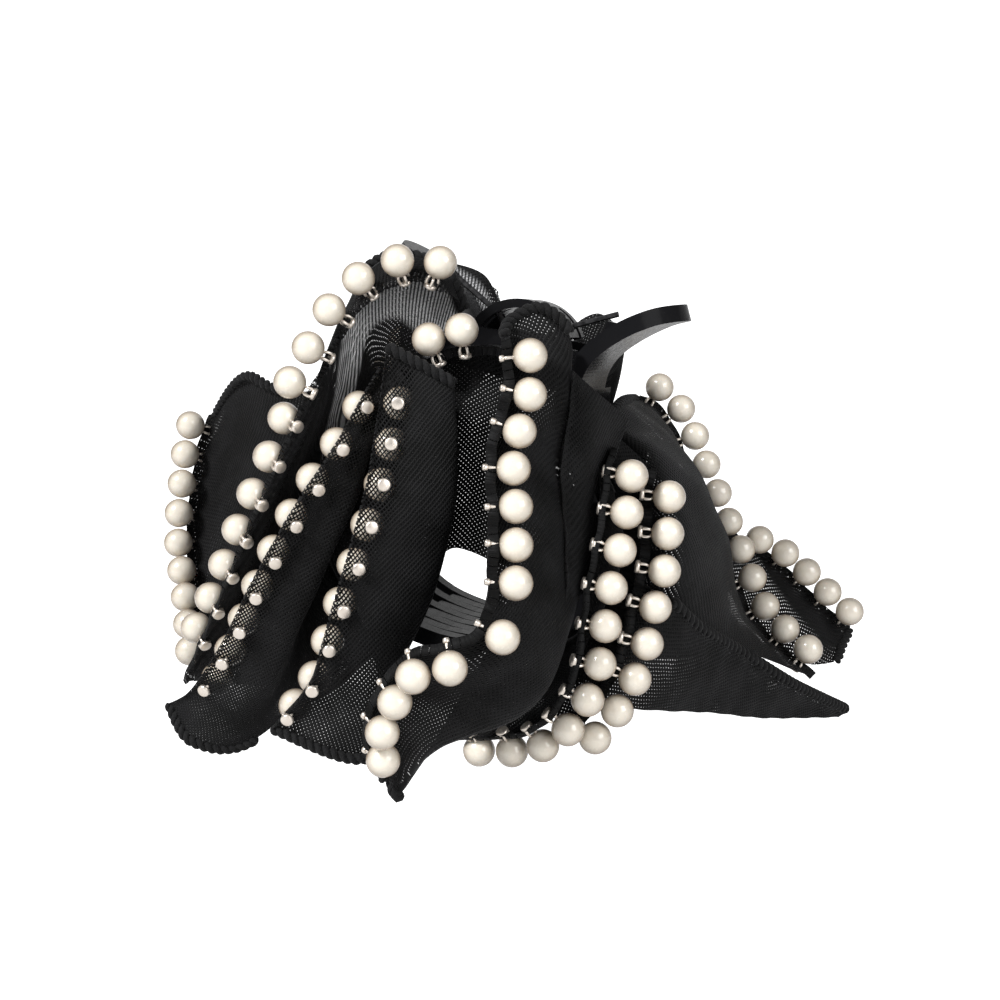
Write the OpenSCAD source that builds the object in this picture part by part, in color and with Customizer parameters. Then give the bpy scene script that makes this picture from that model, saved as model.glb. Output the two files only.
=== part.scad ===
// Claw clip dressed with nested mesh ruffles, each edged with riveted pearls.
// Row frame: floor at Z = 0, hinge axis along Y, the clip leans about the hinge axis as it rests.

/* [Clip] */
// Lean of the clip's mid plane from vertical, in degrees
lean = 13; // [8:1:18]
// Height of the hinge axis above the floor
hinge_z = 65; // [60:1:70]
// Distance of the hinge axis from the middle of the part, along X
hinge_x = 9; // [5:1:12]
// Half length of each toothed jaw, along the hinge axis
jaw_half = 15; // [14:1:16]
// Thickness of the moulded jaws and levers
wall = 2.6; // [2:0.1:3.2]
// Half width of each lever
lever_half = 10; // [7:0.5:11]
// Teeth on the left jaw (the right jaw has one less)
teeth = 5; // [4:1:7]

/* [Hinge] */
// Diameter of the steel pin
pin_d = 2; // [1.6:0.1:2.4]
// Diameter of the spring wire
wire_d = 0.9; // [0.7:0.1:1.1]
// Full turns in the spring
spring_turns = 5; // [3:1:6]

/* [Trim] */
// Diameter of each pearl
pearl_d = 5; // [4:0.1:5]
// Thickness of a mesh ruffle with its bound edge
cloth = 0.5; // [0.4:0.05:0.8]
// Diameter of the twisted cord that binds the ruffle ends
cord_d = 1.8; // [1.2:0.1:2.2]
// Diameter of a pearl rivet's head
head_d = 1.8; // [1.4:0.1:2.2]

/* [Hidden] */

fit = 0.03;                        // running clearance on the pin, each side
knuckle_d = 6.4;
knuckle_w = 3.6;
knuckle_gap = 0.4;
knuckle_reach = 10.4;              // hinge axis to where a knuckle ends inside its jaw
left_knuckle_y = 8.6;              // middle of each left knuckle, either side of the spring
right_knuckle_y = left_knuckle_y + knuckle_w + knuckle_gap;
pin_end = [3.2, 0.8];              // diameter and thickness of the pin's upset ends
hood_r = 8.7;                      // outer radius of the hood over the spring
hood_t = 1.4;
hood_half = 6;
hood_sweep = 155;                  // how far the hood runs round the hinge axis, in degrees
lever_angle = 62;                  // each lever's angle from the clip's mid plane
lever_reach = 26.7;                // hinge axis to lever tip
rib = [1.8, 1.6, 4];               // stop on each lever for an arm of the spring
rib_at = [11.2, 4];                // its place along X and Z
tooth_w = 3;
tooth_pitch = 2 * (jaw_half - tooth_w / 2) / (teeth - 1);
coil_r = 2.7;                      // mean radius of the spring
coil_rise = wire_d + 0.25;
arm_y = spring_turns * coil_rise / 2;
arm_start = [4.4, 5.2];            // where a spring arm leaves the coil, along X and Z
arm_tip = [12.6, 9.4];
middle = [1.9, 0.8, -0.96];        // middle of the part's footprint, before it is moved to the origin
cord_gap = cord_d / 2 + 0.8;       // from the cloth's edge to the middle of the cord that binds it
stand_off = 0.8;                   // gap between the cloth and a pearl, bridged by its rivet
rivet_gap = 0.05;                  // between the cloth and a rivet's head
head_t = 0.7;
shank_d = 0.7;
shank_in = 0.9;                    // how deep a shank goes into its pearl
// How far in from its edge a row stands, as a share of the sheet, at its top and at its bottom
edge_in = [0.02, 0.02];
net_in = [0.15, 0.08];
arch_in = [0.02, 0.1];
hem_in = [0.1, 0.1];
facing_in = [0.14, 0.04];
black_plastic = [0.05, 0.05, 0.055];
black_mesh = [0.10, 0.10, 0.11];
cream = [0.93, 0.90, 0.83];
champagne = [0.78, 0.74, 0.68];
steel = [0.35, 0.35, 0.36];

// ---- curves and sheets ----

function curve_step(a, b, c, d, t) =
    0.5 * (2 * b + (c - a) * t + (2 * a - 5 * b + 4 * c - d) * t * t
        + (3 * b - a - 3 * c + d) * t * t * t);

// Point at share u of the smooth curve through the points p
function along(p, u) =
    let (n = len(p) - 1, s = min(max(u, 0), 1) * n, i = min(floor(s), n - 1))
    curve_step(p[max(i - 1, 0)], p[i], p[i + 1], p[min(i + 2, n)], s - i);

// Point of the sheet that passes through the rails: u along them, v across them
function on_sheet(rails, u, v) = along([for (r = rails) along(r, u)], v);

function unit(a) = a / max(norm(a), 1e-6);

function sheet_normal(rails, u, v, e = 0.01) =
    unit(cross(on_sheet(rails, u + (u > 0.5 ? 0 : e), v) - on_sheet(rails, u - (u > 0.5 ? e : 0), v),
        on_sheet(rails, u, v + (v > 0.5 ? 0 : e)) - on_sheet(rails, u, v - (v > 0.5 ? e : 0))));

// Thin closed solid along the rails, with cells_u by cells_v cells
module sheet(rails, cells_u = 14, cells_v = 6, t = cloth) {
    w = cells_v + 1;
    count = (cells_u + 1) * w;
    grid = [for (i = [0:cells_u]) for (j = [0:cells_v]) [i / cells_u, j / cells_v]];
    mid = [for (g = grid) on_sheet(rails, g[0], g[1])];
    lift = [for (g = grid) sheet_normal(rails, g[0], g[1]) * t / 2];
    ring = concat([for (j = [0:cells_v]) j], [for (i = [1:cells_u]) i * w + cells_v],
        [for (j = [1:cells_v]) cells_u * w + cells_v - j], [for (i = [1:cells_u - 1]) (cells_u - i) * w]);
    faces = concat(
        [for (i = [0:cells_u - 1]) for (j = [0:cells_v - 1]) for (f = [
            [i * w + j, (i + 1) * w + j + 1, (i + 1) * w + j],
            [i * w + j, i * w + j + 1, (i + 1) * w + j + 1]]) f],
        [for (i = [0:cells_u - 1]) for (j = [0:cells_v - 1]) for (f = [
            [count + i * w + j, count + (i + 1) * w + j, count + (i + 1) * w + j + 1],
            [count + i * w + j, count + (i + 1) * w + j + 1, count + i * w + j + 1]]) f],
        [for (k = [0:len(ring) - 1]) let (a = ring[k], b = ring[(k + 1) % len(ring)]) for (f = [
            [b, a, count + a], [b, count + a, count + b]]) f]);
    translate(-middle) polyhedron(concat(mid + lift, mid - lift), faces, convexity = 8);
}

// Round cord along a curve
module cord(p, d = cord_d, rings = 20) {
    sides = 6;
    q = [for (i = [0:rings]) along(p, i / rings)];
    across = [for (i = [0:rings]) let (t = unit(q[min(i + 1, rings)] - q[max(i - 1, 0)]))
        let (a = unit(cross(t, abs(t[1]) > 0.9 ? [1, 0, 0] : [0, 1, 0]))) [a, cross(t, a)]];
    pts = [for (i = [0:rings]) for (k = [0:sides - 1])
        q[i] + d / 2 * (cos(360 * k / sides) * across[i][0] + sin(360 * k / sides) * across[i][1])];
    walls = [for (i = [0:rings - 1]) for (k = [0:sides - 1]) let (a = i * sides + k,
        b = i * sides + (k + 1) % sides) for (f = [[b, a, b + sides], [b + sides, a, a + sides]]) f];
    translate(-middle) polyhedron(pts, concat(walls, [[for (k = [0:sides - 1]) k]],
        [[for (k = [0:sides - 1]) rings * sides + sides - 1 - k]]), convexity = 4);
}

// ---- pearls and rivets in rows ----

function running(q) = [for (i = 0, s = 0; i < len(q);
    s = s + (i < len(q) - 1 ? norm(q[i + 1] - q[i]) : 0), i = i + 1) s];

// Line across which a row runs, at share u down it; inset is how far in it stands at its top and bottom
function row_v(inset, u) = inset[0] + (inset[1] - inset[0]) * u;

function pearl_centre(rails, u, inset, side) = let (v = row_v(inset, u))
    on_sheet(rails, u, v) + side * (pearl_d / 2 + cloth / 2 + stand_off) * sheet_normal(rails, u, v);

// Share u of each pearl of a row: its centre's distances from the top, in mm, along the row
function shares(rails, inset, side, distances) =
    let (n = 50, q = [for (i = [0:n]) pearl_centre(rails, i / n, inset, side)], s = running(q),
        table = [for (i = [0:n]) [s[i], i / n]])
    [for (d = distances) if (d < s[n]) lookup(d, table)];

function distances(first, count, pitch) = [for (k = [0:count - 1]) first + k * pitch];

// Pearls that stand on the side of the sheet where its normal times side points
module pearl_row(rails, inset, at, side) {
    for (u = shares(rails, inset, side, at))
        translate(pearl_centre(rails, u, inset, side) - middle) sphere(d = pearl_d, $fn = 32);
}

// Rivet heads on the other side, each with the shank that goes through into its pearl
module rivet_row(rails, inset, at, side) {
    for (u = shares(rails, inset, side, at)) {
        v = row_v(inset, u);
        n = side * sheet_normal(rails, u, v);
        translate(on_sheet(rails, u, v) - middle - n * (cloth / 2 + rivet_gap + head_t))
            rotate([0, acos(n[2]), atan2(n[1], n[0])]) {
                cylinder(d = head_d, h = head_t, $fn = 24);
                cylinder(d = shank_d, h = head_t + cloth + stand_off + shank_in, $fn = 24);
            }
    }
}

// ---- clip frame: origin on the hinge axis, +Z along the clip away from its teeth ----

module clip_frame() { translate([hinge_x, 0, hinge_z] - middle) rotate([0, lean, 0]) children(); }

// Middle line of one half in the clip's X-Z plane, from lever tip to tooth tip (right half)
half_line = [[23.8, 12.2], [19.8, 10.4], [15.2, 6.9], [11.6, 2.6], [10.5, -2], [11.8, -8],
    [16.2, -15], [20, -22], [21.2, -30], [17.5, -38], [9, -43.4], [1, -45], [-6, -44.6]];
lever_end = 0.37;                  // share of the line where the lever meets the jaw
tooth_start = 0.52;                // share of the line where the teeth part from the jaw plate

function band(from, to, n, t) =
    let (q = [for (i = [0:n]) along(half_line, from + (to - from) * i / n)],
        side = [for (i = [0:n]) let (d = unit(q[min(i + 1, n)] - q[max(i - 1, 0)])) [-d[1], d[0]]])
    concat([for (i = [0:n]) q[i] + side[i] * t / 2], [for (i = [n:-1:0]) q[i] - side[i] * t / 2]);

// A stretch of the half's section, as wide as given along the hinge axis
module strip(from, to, n, half_width, t = wall, at = 0) {
    translate([0, at + half_width, 0]) rotate([90, 0, 0])
        linear_extrude(2 * half_width) polygon(band(from, to, n, t));
}

module tooth(at) { strip(tooth_start, 1, 26, tooth_w / 2, wall, at); }

module knuckle(at) {
    translate([0, at + knuckle_w / 2, 0]) rotate([90, 0, 0]) linear_extrude(knuckle_w)
        difference() {
            union() {
                circle(d = knuckle_d, $fn = 48);
                translate([0, -knuckle_d / 2]) square([knuckle_reach, knuckle_d]);
            }
            circle(d = pin_d + 2 * fit, $fn = 48);
        }
}

// Lever with a rounded tip, and a rib that takes the spring's arm
module lever(spring_side) {
    tip_centre = lever_reach - lever_half;
    deep = lever_reach / 2;            // half the thickness of the shape that rounds the tip
    intersection() {
        strip(0, lever_end, 30, lever_half);
        rotate([0, lever_angle, 0]) union() {
            translate([-deep, 0, tip_centre]) rotate([0, 90, 0])
                cylinder(r = lever_half, h = 2 * deep, $fn = 64);
            translate([-lever_reach, -lever_half, -deep])
                cube([2 * lever_reach, 2 * lever_half, tip_centre + deep]);
        }
    }
    translate([rib_at[0], spring_side * arm_y - rib[1] / 2, rib_at[1]]) cube(rib);
}

module half_body(knuckle_y, tooth_offsets, spring_side) {
    lever(spring_side);
    strip(lever_end - 0.02, tooth_start + 0.02, 20, jaw_half);
    for (y = tooth_offsets) tooth(y);
    for (s = [-1, 1]) knuckle(s * knuckle_y);
}

// Cover over the spring, round the hinge axis, with a slot for each arm and a foot that joins it to its jaw
module hood() {
    foot = [3, 2 * hood_half, 3.4];
    slot = [7, 2 * wire_d, 8];
    slot_x = 6.5;                      // middle of each slot, either side of the hinge axis
    slot_z = 2.5;
    difference() {
        union() {
            rotate([90, 0, 0]) rotate_extrude(angle = hood_sweep, start = -6, $fn = 96)
                translate([hood_r - hood_t, -hood_half]) square([hood_t, 2 * hood_half]);
            translate([hood_r - hood_t, -hood_half, -1]) cube(foot);
        }
        for (s = [-1, 1]) translate([s * slot_x - slot[0] / 2, -s * arm_y - wire_d, slot_z]) cube(slot);
    }
}

module left_jaw() {
    color(black_plastic) clip_frame() mirror([1, 0, 0]) {
        half_body(left_knuckle_y, [for (k = [0:teeth - 1]) (k - (teeth - 1) / 2) * tooth_pitch], -1);
        hood();
    }
}

module right_jaw() {
    color(black_plastic) clip_frame() {
        half_body(right_knuckle_y, [for (k = [0:teeth - 2]) (k - (teeth - 2) / 2) * tooth_pitch], 1);
    }
}

module hinge_pin() {
    end_play = 0.3;
    reach = right_knuckle_y + knuckle_w / 2 + end_play;
    color(steel) clip_frame() rotate([90, 0, 0]) {
        cylinder(d = pin_d, h = 2 * reach, center = true, $fn = 48);
        for (s = [0, 1]) mirror([0, 0, s]) translate([0, 0, reach])
            cylinder(d = pin_end[0], h = pin_end[1], $fn = 48);
    }
}

module torsion_spring() {
    steps = 16;
    last = spring_turns * steps;
    left_arm = [[-arm_tip[0], -arm_y, arm_tip[1]], [-arm_start[0], -arm_y, arm_start[1]]];
    right_arm = [[arm_start[0], arm_y, arm_start[1]], [arm_tip[0], arm_y, arm_tip[1]]];
    // the coil runs from the left arm's side, over the pin, to the right arm's side
    sweep = spring_turns * 360 - 60;
    coil = [for (i = [0:last]) let (a = 120 + sweep * i / last)
        [coil_r * cos(a), arm_y * (2 * i / last - 1), coil_r * sin(a)]];
    color(steel) clip_frame() wire(concat(left_arm, coil, right_arm), wire_d);
}

module wire(q, d) {
    sides = 6;
    n = len(q) - 1;
    across = [for (i = [0:n]) let (t = unit(q[min(i + 1, n)] - q[max(i - 1, 0)]))
        let (a = unit(cross(t, [0, 1, 0]))) [a, cross(t, a)]];
    pts = [for (i = [0:n]) for (k = [0:sides - 1])
        q[i] + d / 2 * (cos(60 * k) * across[i][0] + sin(60 * k) * across[i][1])];
    walls = [for (i = [0:n - 1]) for (k = [0:sides - 1]) let (a = i * sides + k,
        b = i * sides + (k + 1) % sides) for (f = [[b, a, b + sides], [b + sides, a, a + sides]]) f];
    polyhedron(pts, concat(walls, [[for (k = [0:sides - 1]) k]],
        [[for (k = [0:sides - 1]) n * sides + sides - 1 - k]]), convexity = 6);
}

// ---- left ruffles: rails from the free edge in to the jaw, each from the top down ----

// Rail down a jaw, at y along the hinge and so many mm out from its outer face. side is -1 on the left
function core(side, y, proud) = [for (u = [0.40, 0.47, 0.54, 0.61, 0.68, 0.75, 0.83])
    let (p = along(half_line, u), t = unit(along(half_line, u + 0.01) - p),
        c = p + [-t[1], t[0]] * (wall / 2 + proud), x = side * c[0])
    [hinge_x + x * cos(lean) + c[1] * sin(lean), y, hinge_z - x * sin(lean) + c[1] * cos(lean)]];

left_1_edge = [[-5.5, -25.5, 66], [-6, -26, 61], [-7, -27, 53], [-7.5, -28.5, 47], [-10, -30.5, 36],
    [-12, -31, 29], [-14, -30.5, 23], [-16.5, -30, 16.5], [-23, -28, 9.5]];
left_1_fold = [[4, -22.5, 60.5], [4.5, -22.5, 54], [4, -22, 47], [3.5, -21.5, 41.5], [1, -21.5, 33],
    [-1, -22, 26.5], [-4, -23, 19.5], [-6.5, -24, 13.5], [-8, -25, 6]];
left_2_edge = [[-8, -21, 63.5], [-11, -24, 57], [-14, -26, 51], [-20, -27, 42], [-27, -26, 31], [-34, -23, 20],
    [-41, -19, 12], [-46, -16, 9]];
left_2_middle = [[-6, -19.5, 62.3], [-9, -22.4, 56.5], [-11.7, -24.2, 50.5], [-16.5, -24.3, 41.5],
    [-22.5, -24, 31], [-28.5, -21.8, 19.5], [-35.5, -18.8, 9], [-41, -17.5, 3.5]];
left_2_fold = [[-5, -18, 61], [-7.6, -20, 56], [-9.5, -21.2, 50.5], [-13, -21.5, 41], [-18, -21, 31],
    [-23, -20, 20], [-28, -17, 11], [-31.5, -14.5, 4]];
left_3_edge = [[0, -16, 75], [-3, -16.5, 76.3], [-7, -17, 75.8], [-11.5, -18, 73], [-15, -19, 68],
    [-18, -20, 62], [-21, -20.5, 56.5], [-24, -21, 50], [-28, -21, 42], [-32, -20, 34], [-36.5, -18.5, 25.5],
    [-41, -16, 18], [-44.5, -14, 12]];
left_3_rim = [[2, -12, 72], [-1, -11.5, 77.5], [-8, -11.5, 80], [-13.5, -12, 77.5], [-16, -14, 72],
    [-17.5, -16.8, 66], [-19, -18, 58.5], [-21.8, -18.6, 51], [-25.6, -18.7, 43], [-29.5, -17.7, 35],
    [-34, -16, 26], [-39, -13.2, 18], [-43.3, -10.5, 12]];
left_3_wall = [[0, -11.5, 68.5], [-3.5, -11.5, 70], [-8, -12, 69.5], [-12, -13, 66.5], [-14, -14, 63],
    [-16, -14.5, 59.5], [-18, -15, 56], [-21, -15.5, 50], [-25, -15.5, 42], [-29, -15, 34], [-33.5, -13.5, 26],
    [-38, -11, 18], [-42.5, -9, 12]];
left_4_edge = [[-50.5, 12, 53.5], [-52.5, 12, 49.5], [-53.5, 11, 44], [-54, 9, 36], [-53, 7, 29],
    [-50.5, 3, 22], [-48.5, -1, 16], [-47, -5, 11]];
left_4_fold = [[-41, 4, 60.5], [-42.5, 6, 52], [-43.5, 7, 44], [-43, 6, 36], [-41, 3, 28], [-39, 0, 21],
    [-37, -3, 15], [-36, -5, 10]];
left_4_inner = [[-31, 0, 58.5], [-32, 2, 50], [-33, 2, 42], [-32, 1, 34], [-30, 0, 27], [-28, -2, 21],
    [-26, -4, 16], [-25, -5, 12]];
collar_edge = [[-4, -20, 63], [0, -20, 64], [4, -19.5, 65.5], [9, -19, 65.5]];
collar_shelf = [[-1.5, -16.5, 62.5], [1, -16.5, 64], [4, -16.5, 65.5], [9, -16.3, 65.5]];
collar_middle = [[-1, -16.5, 52], [2, -16.5, 52], [5, -16.5, 52], [9, -16.5, 52]];
collar_hem = [[-1, -17, 36.5], [2, -17, 38.5], [5, -17, 38], [9, -17, 36.5]];

left_1 = [left_1_edge, left_1_fold, core(-1, -jaw_half - 1.5, -1.3)];
left_2 = [left_2_edge, left_2_middle, left_2_fold, core(-1, -jaw_half - 0.5, 2.6),
    core(-1, -jaw_half + 2, 1.2)];
left_3 = [left_3_edge, left_3_rim, left_3_wall, core(-1, -jaw_half + 4.5, 1.2)];
left_4 = [left_4_edge, left_4_fold, left_4_inner, core(-1, -4, 1)];
collar = [collar_edge, collar_shelf, collar_middle, collar_hem];

// ---- right ruffles ----

right_1_edge = [[12, -25, 67.5], [13, -27, 60.5], [11.5, -29, 54], [11.2, -30, 49], [12, -31.5, 43],
    [12.6, -34, 36], [12.9, -36, 31], [11, -37.5, 27], [7, -38, 25.5], [2, -38, 24], [-2, -37, 20],
    [-5, -36, 15], [-6.5, -33.5, 9.5], [-5.5, -30.5, 4]];
right_1_gutter = [[12.5, -22, 70], [12, -24, 61], [10.7, -26, 54], [10.4, -27, 49], [11.2, -28.5, 43],
    [11.8, -31, 36], [12.1, -33, 31], [10, -34.5, 25.5], [6, -35, 23], [2, -35, 21], [-1, -34, 18],
    [-4, -33, 13.5], [-5, -31, 8], [-4.5, -28.5, 3.5]];
right_1_panel = [[17, -21, 71.5], [16, -22, 61], [14, -23, 54], [14, -24, 49], [15, -25, 42.5],
    [16, -26.5, 35.5], [16.5, -29, 29.5], [15.5, -31, 23], [12, -32, 19], [8, -32.5, 17], [4, -32.5, 15],
    [0.5, -32, 11.5], [-2, -31, 7], [-3, -30, 1.8]];
right_1_fold = [[21, -20, 66.5], [20, -19, 59.5], [18.5, -18.5, 54], [18, -19, 48.5], [19, -20, 42.5],
    [20, -21, 35.5], [20.7, -22, 30], [20.7, -24, 23.5], [19, -26, 17.5], [15, -27.5, 13.5], [10, -28.5, 11.5],
    [5, -29, 9.5], [1, -29, 6.5], [-1, -29, 3.5]];
right_2_edge = [[25.8, -13, 51.5], [25.4, -15.5, 47.5], [25.2, -18, 42], [24.6, -19.5, 37], [23.7, -20.5, 32],
    [22.9, -21, 25.5], [22, -21.5, 19], [18.5, -21, 12.5], [13.5, -19, 8.5], [7, -17.5, 7], [1, -17, 6.5]];
right_2_gutter = [[24.8, -9.5, 51.5], [24.4, -12, 47.5], [24.2, -14.5, 42], [23.6, -16, 37], [22.8, -17, 32],
    [22, -17.3, 25.5], [21, -17.8, 19.5], [18.2, -17, 14], [13.5, -15.5, 11], [7, -14.5, 10], [2, -14, 9.5]];
right_3_edge = [[30.5, -8.5, 48], [30.2, -10.5, 43.5], [30.3, -12, 38.5], [30, -13, 33], [28.8, -14, 27.7],
    [27.8, -15, 22.3], [26, -15.5, 17.3], [23.2, -15.5, 12.6], [18.5, -15, 7]];
right_3_gutter = [[29.5, -4.8, 48.5], [29.2, -6.8, 44], [29.3, -8.2, 39], [29, -9.2, 33.5], [27.8, -10.2, 28],
    [26.8, -11.2, 22.5], [25, -11.7, 17.5], [22.2, -11.7, 13], [17.5, -11.2, 8]];
right_4_edge = [[21, 34, 56.5], [23.5, 34, 55.5], [26.5, 34, 52], [29.5, 33, 45.5], [32, 33, 39.5],
    [34, 33, 34.5], [36.5, 32, 29.5], [39, 31, 24], [42, 30, 18.5], [47, 28, 14], [53, 25.5, 10]];
right_4_bulge = [[23.5, 8, 57], [26.5, 9, 54.5], [31, 11, 50.5], [35.5, 13, 45], [38, 14, 39], [39.8, 14, 34],
    [40.5, 13, 28], [41, 12, 24], [41.5, 12, 21], [41.5, 12, 18.5], [42, 12.5, 16.5]];
right_4_front = [[23, -2.5, 55], [26, -2.5, 53], [29.5, -3, 50.5], [32.5, -4, 46], [34.5, -5, 41], [35, -5, 36],
    [35, -5, 31], [34.5, -5, 26], [33.5, -5, 22.5], [33, -4, 20], [33, -3, 18]];
skirt = [[[34, -9, 27.5], [37.5, -3, 22.5], [42.5, 8, 17], [50, 20, 9.5], [58, 38, 1.5]],
    [[29, -10, 18.5], [35, -4, 16], [41, 7, 12], [48, 20, 6.5], [57.5, 37.5, 1]],
    [[24.5, -10.5, 11.5], [31, -5, 10], [38.5, 6, 7.5], [46, 19, 4], [57, 37, 0.6]]];
tongue = [[[38, 40, 31.5], [43, 40, 29], [47.5, 41, 25], [52, 42, 20.5], [58, 43, 15.5]],
    [[39, 37.5, 27], [44, 37, 24], [49, 37, 19], [53, 38, 16], [57, 40, 13.5]],
    [[38, 37, 21], [42, 36.5, 16], [47, 36, 11.5], [52, 36, 10], [56, 37, 10.5]]];

right_1 = [right_1_edge, right_1_gutter, right_1_panel, right_1_fold, core(1, -jaw_half - 0.7, -2.6)];
right_2 = [right_2_edge, right_2_gutter, core(1, -jaw_half + 1.5, 1.8), core(1, -jaw_half + 4.5, 1.2)];
right_3 = [right_3_edge, right_3_gutter, core(1, -jaw_half + 9, 1)];
right_4 = [right_4_edge, right_4_bulge, right_4_front, core(1, -1.5, 1)];

function mirrored(rails) = [for (r = rails) [for (p = r) [p[0], -p[1], p[2]]]];

// The same ruffle at the front of the jaw and at its back
module pair_of_sheets(rails, cells_v) {
    sheet(rails, 16, cells_v);
    sheet(mirrored(rails), 16, cells_v);
}

module left_ruffle_1() { color(black_mesh) sheet(left_1, 16, 8); }
module left_ruffle_2() { color(black_mesh) pair_of_sheets(left_2, 10); }
module left_ruffle_3() { color(black_mesh) pair_of_sheets(left_3, 9); }
module left_ruffle_4() { color(black_mesh) sheet(left_4, 14, 9); }
module left_collar() { color(black_mesh) sheet(collar, 6, 9); }
module right_ruffle_1() { color(black_mesh) pair_of_sheets(right_1, 12); }
module right_ruffle_2() { color(black_mesh) pair_of_sheets(right_2, 9); }
module right_ruffle_3() { color(black_mesh) sheet(right_3, 16, 6); }
module right_ruffle_4() { color(black_mesh) sheet(right_4, 16, 9); }
module right_skirt() { color(black_mesh) sheet(skirt, 8, 4); }
module right_tongue() { color(black_mesh) sheet(tongue, 8, 4); }

// ---- pearls, rivets and end cords of each ruffle ----

row_left_1 = distances(6.5, 9, 6.2);
row_left_2 = distances(6.5, 9, 6.5);
row_left_3 = distances(3, 13, 6.5);
row_left_4 = distances(3, 10, 5.2);
row_left_back = distances(15, 6, 6.4);
row_collar = distances(4.5, 3, 5.3);
row_right_1 = concat(distances(3.2, 7, 5.5), distances(44.2, 2, 8.8), distances(58.6, 5, 5.6));
row_right_2 = distances(4, 11, 5.7);
row_right_3 = distances(4, 8, 5.6);
row_right_4 = distances(3, 12, 5.4);
row_right_back = distances(5, 7, 6);
row_tongue = distances(4, 5, 5.2);

// Pearls or rivets of one row; side says on which side of the sheet the pearls stand
module row(kind, rails, at, side, inset = edge_in) {
    if (kind == "pearl") color(cream) pearl_row(rails, inset, at, side);
    if (kind == "rivet") color(champagne) rivet_row(rails, inset, at, side);
}

module left_back(kind) { for (r = [left_2, left_3]) row(kind, mirrored(r), row_left_back, 1); }
module right_back(kind) { for (r = [right_1, right_2]) row(kind, mirrored(r), row_right_back, -1); }
module left_pearls_1() { row("pearl", left_1, row_left_1, -1, facing_in); }
module left_pearls_2() { row("pearl", left_2, row_left_2, -1, net_in); }
module left_pearls_3() { row("pearl", left_3, row_left_3, -1, arch_in); }
module left_pearls_4() { row("pearl", left_4, row_left_4, 1); }
module left_pearls_collar() { row("pearl", collar, row_collar, 1); }
module left_pearls_back() { left_back("pearl"); }
module right_pearls_1() { row("pearl", right_1, row_right_1, 1); }
module right_pearls_2() { row("pearl", right_2, row_right_2, 1, hem_in); }
module right_pearls_3() { row("pearl", right_3, row_right_3, 1); }
module right_pearls_4() { row("pearl", right_4, row_right_4, -1); }
module right_pearls_tongue() { row("pearl", tongue, row_tongue, -1); }
module right_pearls_back() { right_back("pearl"); }
module left_rivets_1() { row("rivet", left_1, row_left_1, -1, facing_in); }
module left_rivets_2() { row("rivet", left_2, row_left_2, -1, net_in); }
module left_rivets_3() { row("rivet", left_3, row_left_3, -1, arch_in); }
module left_rivets_4() { row("rivet", left_4, row_left_4, 1); }
module left_rivets_collar() { row("rivet", collar, row_collar, 1); }
module left_rivets_back() { left_back("rivet"); }
module right_rivets_1() { row("rivet", right_1, row_right_1, 1); }
module right_rivets_2() { row("rivet", right_2, row_right_2, 1, hem_in); }
module right_rivets_3() { row("rivet", right_3, row_right_3, 1); }
module right_rivets_4() { row("rivet", right_4, row_right_4, -1); }
module right_rivets_tongue() { row("rivet", tongue, row_tongue, -1); }
module right_rivets_back() { right_back("rivet"); }

// Cord along one end of a sheet, from share v0 to v1 across it, just clear of the cloth
module end_cord(rails, u, v0, v1) {
    n = 12;
    cord([for (i = [0:n]) let (v = v0 + (v1 - v0) * i / n, a = on_sheet(rails, u, v),
        b = on_sheet(rails, u > 0.5 ? u - 0.02 : u + 0.02, v)) a + cord_gap * unit(a - b)]);
}

// Cord along the line v of a sheet, from share u0 to u1 down it, on the outside of its bend
module rail_cord(rails, v, u0, u1) {
    n = 16;
    e = 0.12;
    cord([for (i = [0:n]) let (u = u0 + (u1 - u0) * i / n, a = on_sheet(rails, u, v),
        b = on_sheet(rails, u, v - e), c = on_sheet(rails, u, v + e)) a + cord_gap * unit(2 * a - b - c)]);
}

module left_cords() {
    color(black_mesh) {
        end_cord(left_1, 0, 0, 0.5);
        end_cord(left_1, 1, 0, 0.5);
        end_cord(left_2, 1, 0, 0.5);
        rail_cord(left_3, 0.33, 0, 0.3);
        end_cord(left_4, 0, 0, 0.67);
    }
}

module right_cords() {
    color(black_mesh) {
        end_cord(right_1, 0, 0, 0.7);
        end_cord(right_1, 1, 0, 0.7);
        end_cord(right_4, 0, 0, 0.6);
        end_cord(tongue, 1, 0, 1);
        rail_cord(skirt, 0, 0, 1);
    }
}

left_jaw();
right_jaw();
hinge_pin();
torsion_spring();
left_ruffle_1();
left_ruffle_2();
left_ruffle_3();
left_ruffle_4();
left_collar();
right_ruffle_1();
right_ruffle_2();
right_ruffle_3();
right_ruffle_4();
right_skirt();
right_tongue();
left_pearls_1();
left_pearls_2();
left_pearls_3();
left_pearls_4();
left_pearls_collar();
left_pearls_back();
right_pearls_1();
right_pearls_2();
right_pearls_3();
right_pearls_4();
right_pearls_tongue();
right_pearls_back();
left_rivets_1();
left_rivets_2();
left_rivets_3();
left_rivets_4();
left_rivets_collar();
left_rivets_back();
right_rivets_1();
right_rivets_2();
right_rivets_3();
right_rivets_4();
right_rivets_tongue();
right_rivets_back();
left_cords();
right_cords();
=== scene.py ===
"""Claw clip dressed with nested mesh ruffles, each edged with riveted pearls.

The rails below are in millimetres, in the frame of the CAD source before its footprint is centred.
"""
import math

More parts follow.
